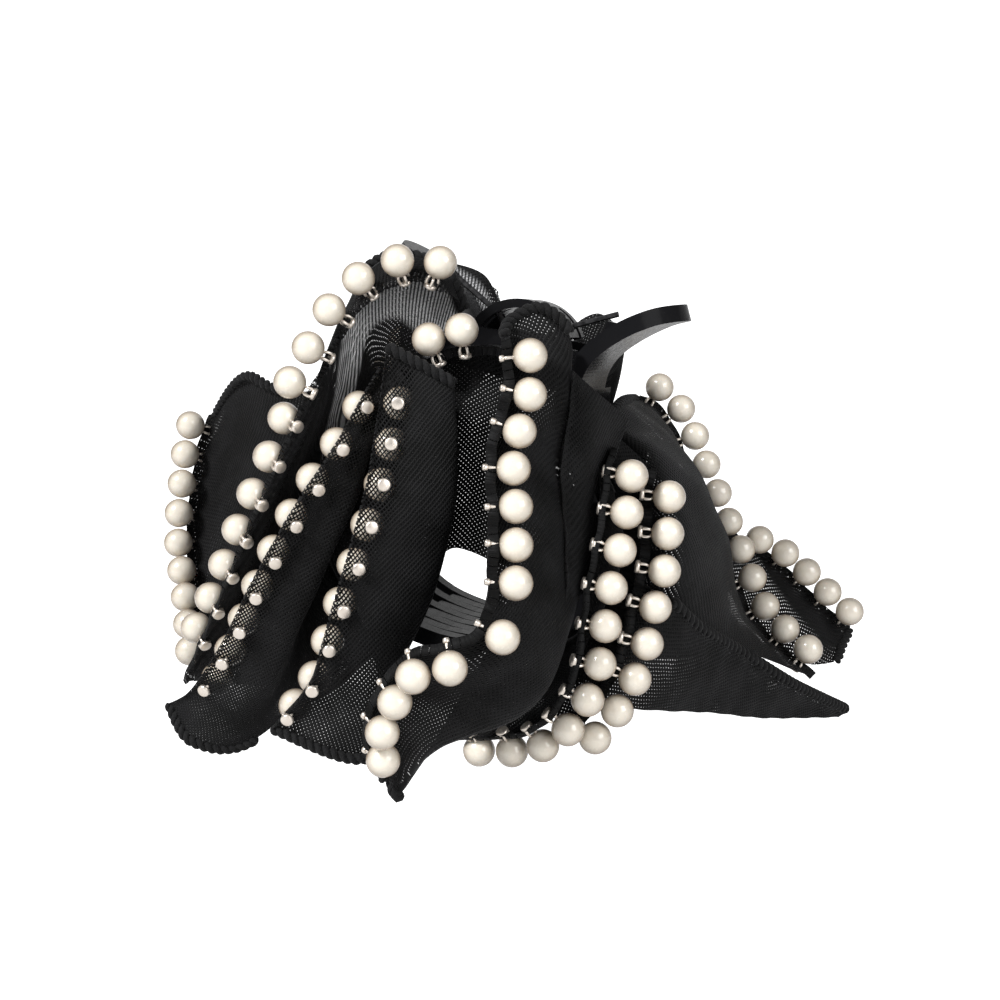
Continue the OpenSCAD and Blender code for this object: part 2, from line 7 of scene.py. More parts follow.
import bpy
import numpy as np
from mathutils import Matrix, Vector


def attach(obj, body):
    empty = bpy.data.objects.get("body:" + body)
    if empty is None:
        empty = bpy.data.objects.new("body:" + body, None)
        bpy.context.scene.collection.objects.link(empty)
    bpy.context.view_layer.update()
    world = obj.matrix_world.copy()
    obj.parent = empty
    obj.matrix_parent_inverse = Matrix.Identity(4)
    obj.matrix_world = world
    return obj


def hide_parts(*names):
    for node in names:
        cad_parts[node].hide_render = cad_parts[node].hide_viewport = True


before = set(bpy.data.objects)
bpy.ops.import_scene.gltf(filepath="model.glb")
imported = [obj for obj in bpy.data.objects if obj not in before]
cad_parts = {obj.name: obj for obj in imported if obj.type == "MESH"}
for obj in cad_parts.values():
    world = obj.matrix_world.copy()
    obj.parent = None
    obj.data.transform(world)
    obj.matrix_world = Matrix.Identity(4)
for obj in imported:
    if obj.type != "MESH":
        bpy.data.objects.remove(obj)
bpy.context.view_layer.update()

MM = 0.001
MIDDLE = np.array([1.9, 0.8, -0.96])      # middle of the footprint, before it is moved to the origin
LEAN = math.radians(13)                  # lean of the clip's mid plane
HINGE = np.array([9, 0, 65])
JAW_HALF = 15
WALL = 2.6
PEARL_D = 5.0
CLOTH = 0.5                              # thickness of the CAD ruffles
NET = 0.16                               # thickness of the net itself
HEM = 0.42                               # how far its rolled hem stands out, each side
HEM_REACH = 0.5                          # how fast the hem thins out, away from the edge
FULL_HEM = 0.95                          # the hem on the pearls' side, where it meets them
FULL_HEM_REACH = 0.9
PUCKER = 0.14                            # height of the puckers at an edge
PUCKER_PITCH = 6.0
PUCKER_REACH = 4.0
WAVE = 0.3                               # height of the slow waves across a ruffle
WAVE_LENGTH = 4.5                        # run of the cloth for one radian of a wave
CORD_D = 1.8
LAY = 2.6                                # length of one turn of a cord's strands
HEAD_D = 2.0
CAP_GAP = 0.1                            # from the middle of the cloth to where a rivet's shape starts
STAND_OFF = 0.8                          # gap between the cloth and a pearl, bridged by its rivet
PEARL_OFF = PEARL_D / 2 + CLOTH / 2 + STAND_OFF
# how far in from its edge a row stands, as a share of the sheet, at its top and at its bottom
EDGE_IN = (0.02, 0.02)
NET_IN = (0.15, 0.08)
ARCH_IN = (0.02, 0.1)
HEM_IN = (0.1, 0.1)
FACING_IN = (0.14, 0.04)

# ---- rails: a ruffle's edge, and the lines between it and its jaw, each from the top down ----

HALF_LINE = [[23.8, 12.2], [19.8, 10.4], [15.2, 6.9], [11.6, 2.6], [10.5, -2], [11.8, -8], [16.2, -15],
    [20, -22], [21.2, -30], [17.5, -38], [9, -43.4], [1, -45], [-6, -44.6]]
LEFT_1_EDGE = [[-5.5, -25.5, 66], [-6, -26, 61], [-7, -27, 53], [-7.5, -28.5, 47], [-10, -30.5, 36],
    [-12, -31, 29], [-14, -30.5, 23], [-16.5, -30, 16.5], [-23, -28, 9.5]]
LEFT_1_FOLD = [[4, -22.5, 60.5], [4.5, -22.5, 54], [4, -22, 47], [3.5, -21.5, 41.5], [1, -21.5, 33],
    [-1, -22, 26.5], [-4, -23, 19.5], [-6.5, -24, 13.5], [-8, -25, 6]]
LEFT_2_EDGE = [[-8, -21, 63.5], [-11, -24, 57], [-14, -26, 51], [-20, -27, 42], [-27, -26, 31],
    [-34, -23, 20], [-41, -19, 12], [-46, -16, 9]]
LEFT_2_MIDDLE = [[-6, -19.5, 62.3], [-9, -22.4, 56.5], [-11.7, -24.2, 50.5], [-16.5, -24.3, 41.5],
    [-22.5, -24, 31], [-28.5, -21.8, 19.5], [-35.5, -18.8, 9], [-41, -17.5, 3.5]]
LEFT_2_FOLD = [[-5, -18, 61], [-7.6, -20, 56], [-9.5, -21.2, 50.5], [-13, -21.5, 41], [-18, -21, 31],
    [-23, -20, 20], [-28, -17, 11], [-31.5, -14.5, 4]]
LEFT_3_EDGE = [[0, -16, 75], [-3, -16.5, 76.3], [-7, -17, 75.8], [-11.5, -18, 73], [-15, -19, 68],
    [-18, -20, 62], [-21, -20.5, 56.5], [-24, -21, 50], [-28, -21, 42], [-32, -20, 34],
    [-36.5, -18.5, 25.5], [-41, -16, 18], [-44.5, -14, 12]]
LEFT_3_RIM = [[2, -12, 72], [-1, -11.5, 77.5], [-8, -11.5, 80], [-13.5, -12, 77.5], [-16, -14, 72],
    [-17.5, -16.8, 66], [-19, -18, 58.5], [-21.8, -18.6, 51], [-25.6, -18.7, 43], [-29.5, -17.7, 35],
    [-34, -16, 26], [-39, -13.2, 18], [-43.3, -10.5, 12]]
LEFT_3_WALL = [[0, -11.5, 68.5], [-3.5, -11.5, 70], [-8, -12, 69.5], [-12, -13, 66.5], [-14, -14, 63],
    [-16, -14.5, 59.5], [-18, -15, 56], [-21, -15.5, 50], [-25, -15.5, 42], [-29, -15, 34],
    [-33.5, -13.5, 26], [-38, -11, 18], [-42.5, -9, 12]]
LEFT_4_EDGE = [[-50.5, 12, 53.5], [-52.5, 12, 49.5], [-53.5, 11, 44], [-54, 9, 36], [-53, 7, 29],
    [-50.5, 3, 22], [-48.5, -1, 16], [-47, -5, 11]]
LEFT_4_FOLD = [[-41, 4, 60.5], [-42.5, 6, 52], [-43.5, 7, 44], [-43, 6, 36], [-41, 3, 28], [-39, 0, 21],
    [-37, -3, 15], [-36, -5, 10]]
LEFT_4_INNER = [[-31, 0, 58.5], [-32, 2, 50], [-33, 2, 42], [-32, 1, 34], [-30, 0, 27], [-28, -2, 21],
    [-26, -4, 16], [-25, -5, 12]]
COLLAR_EDGE = [[-4, -20, 63], [0, -20, 64], [4, -19.5, 65.5], [9, -19, 65.5]]
COLLAR_SHELF = [[-1.5, -16.5, 62.5], [1, -16.5, 64], [4, -16.5, 65.5], [9, -16.3, 65.5]]
COLLAR_MIDDLE = [[-1, -16.5, 52], [2, -16.5, 52], [5, -16.5, 52], [9, -16.5, 52]]
COLLAR_HEM = [[-1, -17, 36.5], [2, -17, 38.5], [5, -17, 38], [9, -17, 36.5]]
RIGHT_1_EDGE = [[12, -25, 67.5], [13, -27, 60.5], [11.5, -29, 54], [11.2, -30, 49], [12, -31.5, 43],
    [12.6, -34, 36], [12.9, -36, 31], [11, -37.5, 27], [7, -38, 25.5], [2, -38, 24], [-2, -37, 20],
    [-5, -36, 15], [-6.5, -33.5, 9.5], [-5.5, -30.5, 4]]
RIGHT_1_GUTTER = [[12.5, -22, 70], [12, -24, 61], [10.7, -26, 54], [10.4, -27, 49], [11.2, -28.5, 43],
    [11.8, -31, 36], [12.1, -33, 31], [10, -34.5, 25.5], [6, -35, 23], [2, -35, 21], [-1, -34, 18],
    [-4, -33, 13.5], [-5, -31, 8], [-4.5, -28.5, 3.5]]
RIGHT_1_PANEL = [[17, -21, 71.5], [16, -22, 61], [14, -23, 54], [14, -24, 49], [15, -25, 42.5],
    [16, -26.5, 35.5], [16.5, -29, 29.5], [15.5, -31, 23], [12, -32, 19], [8, -32.5, 17], [4, -32.5, 15],
    [0.5, -32, 11.5], [-2, -31, 7], [-3, -30, 1.8]]
RIGHT_1_FOLD = [[21, -20, 66.5], [20, -19, 59.5], [18.5, -18.5, 54], [18, -19, 48.5], [19, -20, 42.5],
    [20, -21, 35.5], [20.7, -22, 30], [20.7, -24, 23.5], [19, -26, 17.5], [15, -27.5, 13.5],
    [10, -28.5, 11.5], [5, -29, 9.5], [1, -29, 6.5], [-1, -29, 3.5]]
RIGHT_2_EDGE = [[25.8, -13, 51.5], [25.4, -15.5, 47.5], [25.2, -18, 42], [24.6, -19.5, 37],
    [23.7, -20.5, 32], [22.9, -21, 25.5], [22, -21.5, 19], [18.5, -21, 12.5], [13.5, -19, 8.5],
    [7, -17.5, 7], [1, -17, 6.5]]
RIGHT_2_GUTTER = [[24.8, -9.5, 51.5], [24.4, -12, 47.5], [24.2, -14.5, 42], [23.6, -16, 37],
    [22.8, -17, 32], [22, -17.3, 25.5], [21, -17.8, 19.5], [18.2, -17, 14], [13.5, -15.5, 11],
    [7, -14.5, 10], [2, -14, 9.5]]
RIGHT_3_EDGE = [[30.5, -8.5, 48], [30.2, -10.5, 43.5], [30.3, -12, 38.5], [30, -13, 33], [28.8, -14, 27.7],
    [27.8, -15, 22.3], [26, -15.5, 17.3], [23.2, -15.5, 12.6], [18.5, -15, 7]]
RIGHT_3_GUTTER = [[29.5, -4.8, 48.5], [29.2, -6.8, 44], [29.3, -8.2, 39], [29, -9.2, 33.5],
    [27.8, -10.2, 28], [26.8, -11.2, 22.5], [25, -11.7, 17.5], [22.2, -11.7, 13], [17.5, -11.2, 8]]
RIGHT_4_EDGE = [[21, 34, 56.5], [23.5, 34, 55.5], [26.5, 34, 52], [29.5, 33, 45.5], [32, 33, 39.5],
    [34, 33, 34.5], [36.5, 32, 29.5], [39, 31, 24], [42, 30, 18.5], [47, 28, 14], [53, 25.5, 10]]
RIGHT_4_BULGE = [[23.5, 8, 57], [26.5, 9, 54.5], [31, 11, 50.5], [35.5, 13, 45], [38, 14, 39],
    [39.8, 14, 34], [40.5, 13, 28], [41, 12, 24], [41.5, 12, 21], [41.5, 12, 18.5], [42, 12.5, 16.5]]
RIGHT_4_FRONT = [[23, -2.5, 55], [26, -2.5, 53], [29.5, -3, 50.5], [32.5, -4, 46], [34.5, -5, 41],
    [35, -5, 36], [35, -5, 31], [34.5, -5, 26], [33.5, -5, 22.5], [33, -4, 20], [33, -3, 18]]
SKIRT = [[[34, -9, 27.5], [37.5, -3, 22.5], [42.5, 8, 17], [50, 20, 9.5], [58, 38, 1.5]], [[29, -10, 18.5],
    [35, -4, 16], [41, 7, 12], [48, 20, 6.5], [57.5, 37.5, 1]], [[24.5, -10.5, 11.5], [31, -5, 10],
    [38.5, 6, 7.5], [46, 19, 4], [57, 37, 0.6]]]
TONGUE = [[[38, 40, 31.5], [43, 40, 29], [47.5, 41, 25], [52, 42, 20.5], [58, 43, 15.5]], [[39, 37.5, 27],
    [44, 37, 24], [49, 37, 19], [53, 38, 16], [57, 40, 13.5]], [[38, 37, 21], [42, 36.5, 16],
    [47, 36, 11.5], [52, 36, 10], [56, 37, 10.5]]]

# distance of each pearl from the top of its row
ROW_LEFT_1 = 6.5 + 6.2 * np.arange(9)
ROW_LEFT_2 = 6.5 + 6.5 * np.arange(9)
ROW_LEFT_3 = 3 + 6.5 * np.arange(13)
ROW_LEFT_4 = 3 + 5.2 * np.arange(10)
ROW_LEFT_BACK = 15 + 6.4 * np.arange(6)
ROW_COLLAR = 4.5 + 5.3 * np.arange(3)
ROW_RIGHT_1 = np.concatenate([
    3.2 + 5.5 * np.arange(7),
    44.2 + 8.8 * np.arange(2),
    58.6 + 5.6 * np.arange(5)])
ROW_RIGHT_2 = 4 + 5.7 * np.arange(11)
ROW_RIGHT_3 = 4 + 5.6 * np.arange(8)
ROW_RIGHT_4 = 3 + 5.4 * np.arange(12)
ROW_RIGHT_BACK = 5 + 6 * np.arange(7)
ROW_TONGUE = 4 + 5.2 * np.arange(5)

# ---- curves and sheets ----


def step(a, b, c, d, t):
    """Catmull-Rom step from b to c."""
    return 0.5 * (2 * b + (c - a) * t + (2 * a - 5 * b + 4 * c - d) * t**2 + (3 * b - a - 3 * c + d) * t**3)


def along(points, share):
    """Points of the smooth curve through the points, at each share of it. The first axis is the curve's."""
    p = np.asarray(points, float)
    share = np.atleast_1d(np.asarray(share, float))
    last = len(p) - 1
    s = np.clip(share, 0, 1) * last
    i = np.minimum(s.astype(int), last - 1)
    t = (s - i).reshape((-1,) + (1,) * (p.ndim - 1))
    return step(p[np.maximum(i - 1, 0)], p[i], p[i + 1], p[np.minimum(i + 2, last)], t)


def core(side, y, proud):
    """Rail down a jaw, at y along the hinge, proud mm out from its outer face. side is -1 for the left."""
    share = np.array([0.40, 0.47, 0.54, 0.61, 0.68, 0.75, 0.83])
    p = along(HALF_LINE, share)
    t = along(HALF_LINE, share + 0.01) - p
    t /= np.linalg.norm(t, axis=1)[:, None]
    c = p + np.stack([-t[:, 1], t[:, 0]], 1) * (WALL / 2 + proud)
    c[:, 0] *= side
    x = HINGE[0] + c[:, 0] * math.cos(LEAN) + c[:, 1] * math.sin(LEAN)
    z = HINGE[2] - c[:, 0] * math.sin(LEAN) + c[:, 1] * math.cos(LEAN)
    return np.stack([x, np.full(len(c), float(y)), z], 1)


def mirrored(rail):
    return [[p[0], -p[1], p[2]] for p in rail]


def grid(rails, us, vs):
    """Points of the sheet through the rails: us along them, vs across them. Shape (us, vs, 3)."""
    lines = np.stack([along(r, us) for r in rails])
    return along(lines, vs).transpose(1, 0, 2)


def grid_normals(p):
    n = np.cross(np.gradient(p, axis=0), np.gradient(p, axis=1))
    return n / np.maximum(np.linalg.norm(n, axis=2), 1e-9)[..., None]


def at(rails, u, v):
    return grid(rails, [u], [v])[0, 0]


def normal_at(rails, u, v, e=0.01):
    """Unit normal of the sheet, as the CAD source works it out."""
    du = at(rails, u if u > 0.5 else u + e, v) - at(rails, u - e if u > 0.5 else u, v)
    dv = at(rails, u, v if v > 0.5 else v + e) - at(rails, u, v - e if v > 0.5 else v)
    n = np.cross(du, dv)
    return n / np.linalg.norm(n)


def lengths(points):
    return np.concatenate([[0], np.cumsum(np.linalg.norm(np.diff(points, axis=0), axis=1))])


def placed(points):
    """Row-frame metres from rail millimetres."""
    return (np.asarray(points, float) - MIDDLE) * MM


# ---- mesh helpers ----


def mesh_object(name, verts, faces, material, smooth=True, uvs=None):
    mesh = bpy.data.meshes.new(name)
    mesh.from_pydata([tuple(v) for v in verts], [], faces)
    mesh.materials.append(material)
    mesh.update()
    if uvs is not None:
        layer = mesh.uv_layers.new(name="weave")
        index = np.zeros(len(mesh.loops), int)
        mesh.loops.foreach_get("vertex_index", index)
        layer.data.foreach_set("uv", np.asarray(uvs, float)[index].ravel())
    mesh.polygons.foreach_set("use_smooth", [smooth] * len(mesh.polygons))
    obj = bpy.data.objects.new(name, mesh)
    bpy.context.scene.collection.objects.link(obj)
    return obj


def tube_faces(rings, sides, first=0, closed=True):
    faces = []
    for i in range(rings - 1):
        for k in range(sides):
            a = first + i * sides + k
            b = first + i * sides + (k + 1) % sides
            faces.append((a, b, b + sides, a + sides))
    if closed:
        faces.append(tuple(first + k for k in reversed(range(sides))))
        faces.append(tuple(first + (rings - 1) * sides + k for k in range(sides)))
    return faces


def frames_along(path):
    """Tangent and two normals at each point of a path, turned as little as possible."""
    tangent = np.gradient(path, axis=0)
    tangent /= np.linalg.norm(tangent, axis=1)[:, None]
    first = np.cross(tangent[0], [0.3, 0.5, 0.8])
    normals = [first / np.linalg.norm(first)]
    for t in tangent[1:]:
        n = normals[-1] - t * np.dot(normals[-1], t)
        normals.append(n / np.linalg.norm(n))
    normals = np.array(normals)
    return tangent, normals, np.cross(tangent, normals)


def tube(path, radius, sides=8):
    """Vertices of a tube along a path, ring by ring. radius is one number or one for each point."""
    _, a, b = frames_along(path)
    radius = np.broadcast_to(radius, len(path))[:, None]
    angle = 2 * math.pi * np.arange(sides) / sides
    cos, sin = np.cos(angle)[:, None], np.sin(angle)[:, None]
    return np.concatenate([path[i] + radius[i] * (cos * a[i] + sin * b[i]) for i in range(len(path))])


# ---- materials ----


def new_material(name):
    material = bpy.data.materials.new(name)
    material.use_nodes = True
    nodes = material.node_tree.nodes
    shader = nodes["Principled BSDF"]
    return material, nodes, material.node_tree.links, shader


def math_node(nodes, links, operation, a, b=None):
    node = nodes.new("ShaderNodeMath")
    node.operation = operation
    for socket, value in zip(node.inputs, (a, b)):
        if value is None:
            continue
        if isinstance(value, (int, float)):
            socket.default_value = value
        else:
            links.new(value, socket)
    return node.outputs[0]


def ramp(nodes, links, value, low, high, to_low=0.0, to_high=1.0):
    node = nodes.new("ShaderNodeMapRange")
    node.interpolation_type = "SMOOTHSTEP"
    links.new(value, node.inputs["Value"])
    for socket, number in (("From Min", low), ("From Max", high), ("To Min", to_low), ("To Max", to_high)):
        node.inputs[socket].default_value = number
    return node.outputs["Result"]


def mix_colour(nodes, links, factor, a, b):
    """Colour between a and b. a may be another node's output."""
    node = nodes.new("ShaderNodeMix")
    node.data_type = "RGBA"
    links.new(factor, node.inputs["Factor"])
    if isinstance(a, tuple):
        node.inputs["A"].default_value = (*a, 1)
    else:
        links.new(a, node.inputs["A"])
    node.inputs["B"].default_value = (*b, 1)
    return node.outputs["Result"]


def noise(nodes, links, coords, scale, detail=3.0):
    node = nodes.new("ShaderNodeTexNoise")
    links.new(coords, node.inputs["Vector"])
    node.inputs["Scale"].default_value = scale
    node.inputs["Detail"].default_value = detail
    return node.outputs["Fac"]


def bump(nodes, links, height, distance, strength=0.6, after=None):
    node = nodes.new("ShaderNodeBump")
    node.inputs["Strength"].default_value = strength
    node.inputs["Distance"].default_value = distance
    links.new(height, node.inputs["Height"])
    if after is not None:
        links.new(after, node.inputs["Normal"])
    return node.outputs["Normal"]


def net_material(name, sheer_to=0.0, sheer_end=57, lit=None, dense=-0.75):
    """Fine diagonal net of black yarn.

    Its UV map is in millimetres along the edge and in from it. The net is sheer up to sheer_to from its edge,
    and dense further in and past sheer_end along it. lit is the stretch painted with light between its yarns,
    as grey stripes of painted backlight in its colour: (how far along, from how far in, to how far in).
    """
    pitch, sheer = 0.62, 0.40
    material, nodes, links, shader = new_material(name)

    def calc(operation, one, other=None):
        return math_node(nodes, links, operation, one, other)

    def fade(value, low, high, to_low=0.0, to_high=1.0):
        return ramp(nodes, links, value, low, high, to_low, to_high)

    uv = nodes.new("ShaderNodeUVMap")
    uv.uv_map = "weave"
    place = uv.outputs["UV"]
    split = nodes.new("ShaderNodeSeparateXYZ")
    links.new(place, split.inputs["Vector"])
    u, v = split.outputs["X"], split.outputs["Y"]
    wander = calc("MULTIPLY", noise(nodes, links, place, 0.35, 2.0), 0.6)
    one = calc("ADD", v, calc("ADD", wander, calc("MULTIPLY", u, 0.55)))
    two = calc("SUBTRACT", v, calc("MULTIPLY", u, 1.25))
    lines_one = calc("SINE", calc("MULTIPLY", one, 2 * math.pi / pitch))
    lines_two = calc("SINE", calc("MULTIPLY", two, 2 * math.pi / pitch / 1.3))
    yarn = calc("MAXIMUM", lines_one, lines_two)
    loose = fade(noise(nodes, links, place, 0.22, 2.0), 0.5, 0.8, dense, dense + 0.2)
    near = calc("MULTIPLY", fade(v, max(sheer_to - 1.0, 0.01), sheer_to + 1.5, 1, 0),
                fade(u, sheer_end, sheer_end + 3, 1, 0.2))
    edge = fade(near, 0, 1, dense, sheer if sheer_to else dense)
    gap = calc("SUBTRACT", yarn, calc("MAXIMUM", loose, edge))
    links.new(fade(gap, -0.35, 0.25), shader.inputs["Alpha"])
    soft = noise(nodes, links, place, 0.12, 3.0)
    colour = mix_colour(nodes, links, fade(soft, 0.3, 0.7), (0.004, 0.004, 0.004), (0.011, 0.011, 0.0115))
    # painted backlight: grey diagonal stripes mixed into the net's base colour stand for light showing
    # through it
    if lit:
        along_it, from_in, to_in = lit
        inside = calc("MULTIPLY", fade(v, from_in, from_in + 1.5), fade(v, to_in, to_in + 1.5, 1, 0))
        inside = calc("MULTIPLY", inside, fade(u, along_it, along_it + 3, 1, 0))
        slant = calc("ADD", u, calc("MULTIPLY", v, 0.5))
        stripes = calc("SINE", calc("MULTIPLY", slant, 2 * math.pi / 0.7))
        painted_backlight_stripes = calc("MULTIPLY", inside, fade(stripes, -0.3, 0.5, 0.1, 1.0))
        colour = mix_colour(nodes, links, painted_backlight_stripes, colour, (0.5, 0.5, 0.51))
    links.new(colour, shader.inputs["Base Color"])
    height = calc("MAXIMUM", lines_one, calc("MULTIPLY", lines_two, 0.6))
    links.new(bump(nodes, links, height, 0.00012, 0.7), shader.inputs["Normal"])
    shader.inputs["Roughness"].default_value = 0.65
    shader.inputs["Specular IOR Level"].default_value = 0.12
    shader.inputs["Sheen Weight"].default_value = 0.045
    shader.inputs["Sheen Roughness"].default_value = 0.35
    shader.inputs["Sheen Tint"].default_value = (0.8, 0.8, 0.85, 1)
    return material


def yarn_material():
    """Matt black twisted yarn with a fuzzy surface."""
    material, nodes, links, shader = new_material("black yarn")
    place = nodes.new("ShaderNodeTexCoord").outputs["Object"]
    fibres = noise(nodes, links, place, 2600.0, 2.0)
    patches = noise(nodes, links, place, 240.0, 2.0)
    links.new(mix_colour(nodes, links, patches, (0.003, 0.003, 0.003), (0.014, 0.014, 0.015)),
              shader.inputs["Base Color"])
    links.new(bump(nodes, links, fibres, 0.0003, 0.9), shader.inputs["Normal"])
    shader.inputs["Roughness"].default_value = 0.75
    shader.inputs["Specular IOR Level"].default_value = 0.15
    shader.inputs["Sheen Weight"].default_value = 0.05
    return material


def pearl_material():
    """Cream imitation pearl: a warm body under a clear, slightly pink skin; its rim has painted shade."""
    material, nodes, links, shader = new_material("cream pearl")
    place = nodes.new("ShaderNodeTexCoord").outputs["Object"]
    facing = nodes.new("ShaderNodeLayerWeight")
    facing.inputs["Blend"].default_value = 0.35
    # painted shade: the body colour turns from cream to dark brown as the surface turns away from the view
    body = mix_colour(nodes, links, ramp(nodes, links, facing.outputs["Facing"], 0.02, 0.65),
                      (0.80, 0.74, 0.64), (0.31, 0.25, 0.18))
    links.new(body, shader.inputs["Base Color"])
    dull = noise(nodes, links, place, 900.0, 3.0)
    links.new(ramp(nodes, links, dull, 0.3, 0.7, 0.20, 0.32), shader.inputs["Roughness"])
    ripples = noise(nodes, links, place, 1400.0, 2.0)
    links.new(bump(nodes, links, ripples, 0.00004, 0.15), shader.inputs["Normal"])
    shader.inputs["Specular IOR Level"].default_value = 0.5
    shader.inputs["Coat Weight"].default_value = 0.9
    shader.inputs["Coat Roughness"].default_value = 0.14
    shader.inputs["Sheen Weight"].default_value = 0.2
    shader.inputs["Sheen Tint"].default_value = (1.0, 0.86, 0.80, 1)
    shader.inputs["Subsurface Weight"].default_value = 0.12
    shader.inputs["Subsurface Radius"].default_value = (0.0012, 0.0009, 0.0006)
    shader.inputs["Subsurface Scale"].default_value = 1.0
    return material


def rivet_material():
    """Champagne plating, brushed and slightly worn."""
    material, nodes, links, shader = new_material("champagne plating")
    place = nodes.new("ShaderNodeTexCoord").outputs["Object"]
    worn = noise(nodes, links, place, 700.0, 4.0)
    links.new(mix_colour(nodes, links, worn, (0.88, 0.82, 0.75), (0.72, 0.64, 0.56)),
              shader.inputs["Base Color"])
    links.new(ramp(nodes, links, worn, 0.3, 0.7, 0.30, 0.48), shader.inputs["Roughness"])
    links.new(bump(nodes, links, worn, 0.00005, 0.3), shader.inputs["Normal"])
    shader.inputs["Metallic"].default_value = 0.8
    return material


def plastic_material():
    """Glossy black moulded plastic with faint flow marks and fine scuffs."""
    material, nodes, links, shader = new_material("black plastic")
    place = nodes.new("ShaderNodeTexCoord").outputs["Object"]
    flow = noise(nodes, links, place, 60.0, 3.0)
    scuffs = noise(nodes, links, place, 1800.0, 2.0)
    links.new(mix_colour(nodes, links, flow, (0.006, 0.006, 0.007), (0.014, 0.014, 0.015)),
              shader.inputs["Base Color"])
    links.new(ramp(nodes, links, scuffs, 0.35, 0.75, 0.16, 0.28), shader.inputs["Roughness"])
    fine = bump(nodes, links, scuffs, 0.00004, 0.25)
    links.new(bump(nodes, links, flow, 0.0002, 0.1, fine), shader.inputs["Normal"])
    shader.inputs["Specular IOR Level"].default_value = 0.035
    return material


def steel_material():
    """Blackened spring steel."""
    material, nodes, links, shader = new_material("blackened steel")
    place = nodes.new("ShaderNodeTexCoord").outputs["Object"]
    grain = noise(nodes, links, place, 1500.0, 3.0)
    links.new(mix_colour(nodes, links, grain, (0.05, 0.05, 0.052), (0.13, 0.13, 0.135)),
              shader.inputs["Base Color"])
    links.new(ramp(nodes, links, grain, 0.3, 0.7, 0.28, 0.45), shader.inputs["Roughness"])
    shader.inputs["Metallic"].default_value = 0.9
    return material


def stage_material():
    """White paper that glows like the wall of a light tent, less for the object than for the camera."""
    glow_on_object, more_glow_in_view = 0.38, 0.85
    material, nodes, links, shader = new_material("white paper")
    shader.inputs["Base Color"].default_value = (0.5, 0.5, 0.5, 1)
    shader.inputs["Roughness"].default_value = 0.9
    shader.inputs["Emission Color"].default_value = (1, 1, 1, 1)
    seen = nodes.new("ShaderNodeLightPath").outputs["Is Camera Ray"]
    more = math_node(nodes, links, "MULTIPLY", seen, more_glow_in_view)
    links.new(math_node(nodes, links, "ADD", glow_on_object, more), shader.inputs["Emission Strength"])
    return material


NET_CLOTH = net_material("black net")
LOOSE_NET = net_material("black net, loosely woven", dense=-0.58)
EDGED_NET = net_material("black net, sheer at its edge", 4.5)
SHORT_EDGED_NET = net_material("black net, sheer along most of its edge", 4.5, 46)
# the arch's net carries painted backlight: grey stripes in its colour stand for light showing through it
ARCH_NET = net_material("black net, with painted backlight at its arch", 2.5, lit=(26, 6.5, 16))
YARN = yarn_material()
PEARL = pearl_material()
PLATING = rivet_material()
PLASTIC = plastic_material()
STEEL = steel_material()


# ---- ruffles ----


def ruffle(name, node, body, rails, cells_u, cells_v, net, full_side=0):
    """Net ribbon along the rails with a rolled hem, puckers at its pearl edge and slow waves across it.

    full_side is 1 where the hem is full on the side its normal points to, -1 for the other side, or 0.
    """
    us = np.linspace(0, 1, cells_u + 1)
    vs = np.linspace(0, 1, cells_v + 1) ** 1.6
    mid = grid(rails, us, vs)
    normal = grid_normals(mid)
    run = np.concatenate([np.zeros((1, cells_v + 1)),
                          np.cumsum(np.linalg.norm(np.diff(mid, axis=0), axis=2), axis=0)])
    across = np.concatenate([np.zeros((cells_u + 1, 1)),
                             np.cumsum(np.linalg.norm(np.diff(mid, axis=1), axis=2), axis=1)], axis=1)
    from_edge = np.minimum(across, across[:, -1:] - across)
    pucker = np.sin(run * 2 * math.pi / PUCKER_PITCH + 0.7) * np.exp(-from_edge / PUCKER_REACH)
    # each ruffle's waves start elsewhere, by the length of its name
    slow = np.sin(run / WAVE_LENGTH + across * 0.23 + len(name)) * np.cos(across * 0.19 + run * 0.11)
    fade = np.clip(from_edge / 3.0, 0, 1)
    mid = mid + normal * (PUCKER * pucker + WAVE * slow * fade)[..., None]
    normal = grid_normals(mid)
    near = np.exp(-(across / (FULL_HEM_REACH if full_side else HEM_REACH)) ** 2)[..., None]
    top = mid + normal * (NET / 2 + (FULL_HEM if full_side == 1 else HEM) * near)
    low = mid - normal * (NET / 2 + (FULL_HEM if full_side == -1 else HEM) * near)
    width = cells_v + 1
    count = (cells_u + 1) * width
    faces = []
    for i in range(cells_u):
        for j in range(cells_v):
            a = i * width + j
            faces.append((a, a + width, a + width + 1, a + 1))
            faces.append((count + a, count + a + 1, count + a + width + 1, count + a + width))
    ring = (list(range(width)) + [i * width + cells_v for i in range(1, cells_u + 1)]
            + [cells_u * width + cells_v - j for j in range(1, cells_v + 1)]
            + [(cells_u - i) * width for i in range(1, cells_u)])
    for a, b in zip(ring, ring[1:] + ring[:1]):
        faces.append((a, b, count + b, count + a))
    uv = np.stack([run, across], -1).reshape(-1, 2)
    obj = mesh_object(name, placed(np.concatenate([top.reshape(-1, 3), low.reshape(-1, 3)])), faces, net,
                      uvs=np.concatenate([uv, uv]))
    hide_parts(node)
    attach(obj, body)


# ---- pearls and rivets ----


def sphere_mesh(radius, rings=18, sides=32):
    verts = [(0, 0, radius)]
    for i in range(1, rings):
        a = math.pi * i / rings
        for k in range(sides):
            b = 2 * math.pi * k / sides
            verts.append((radius * math.sin(a) * math.cos(b), radius * math.sin(a) * math.sin(b),
                          radius * math.cos(a)))
    verts.append((0, 0, -radius))
    faces = [(0, 1 + k, 1 + (k + 1) % sides) for k in range(sides)]
    for i in range(rings - 2):
        for k in range(sides):
            a = 1 + i * sides + k
            b = 1 + i * sides + (k + 1) % sides
            faces.append((a, a + sides, b + sides, b))
    end = len(verts) - 1
    first = end - sides
    faces += [(end, first + (k + 1) % sides, first + k) for k in range(sides)]
    return np.array(verts), faces


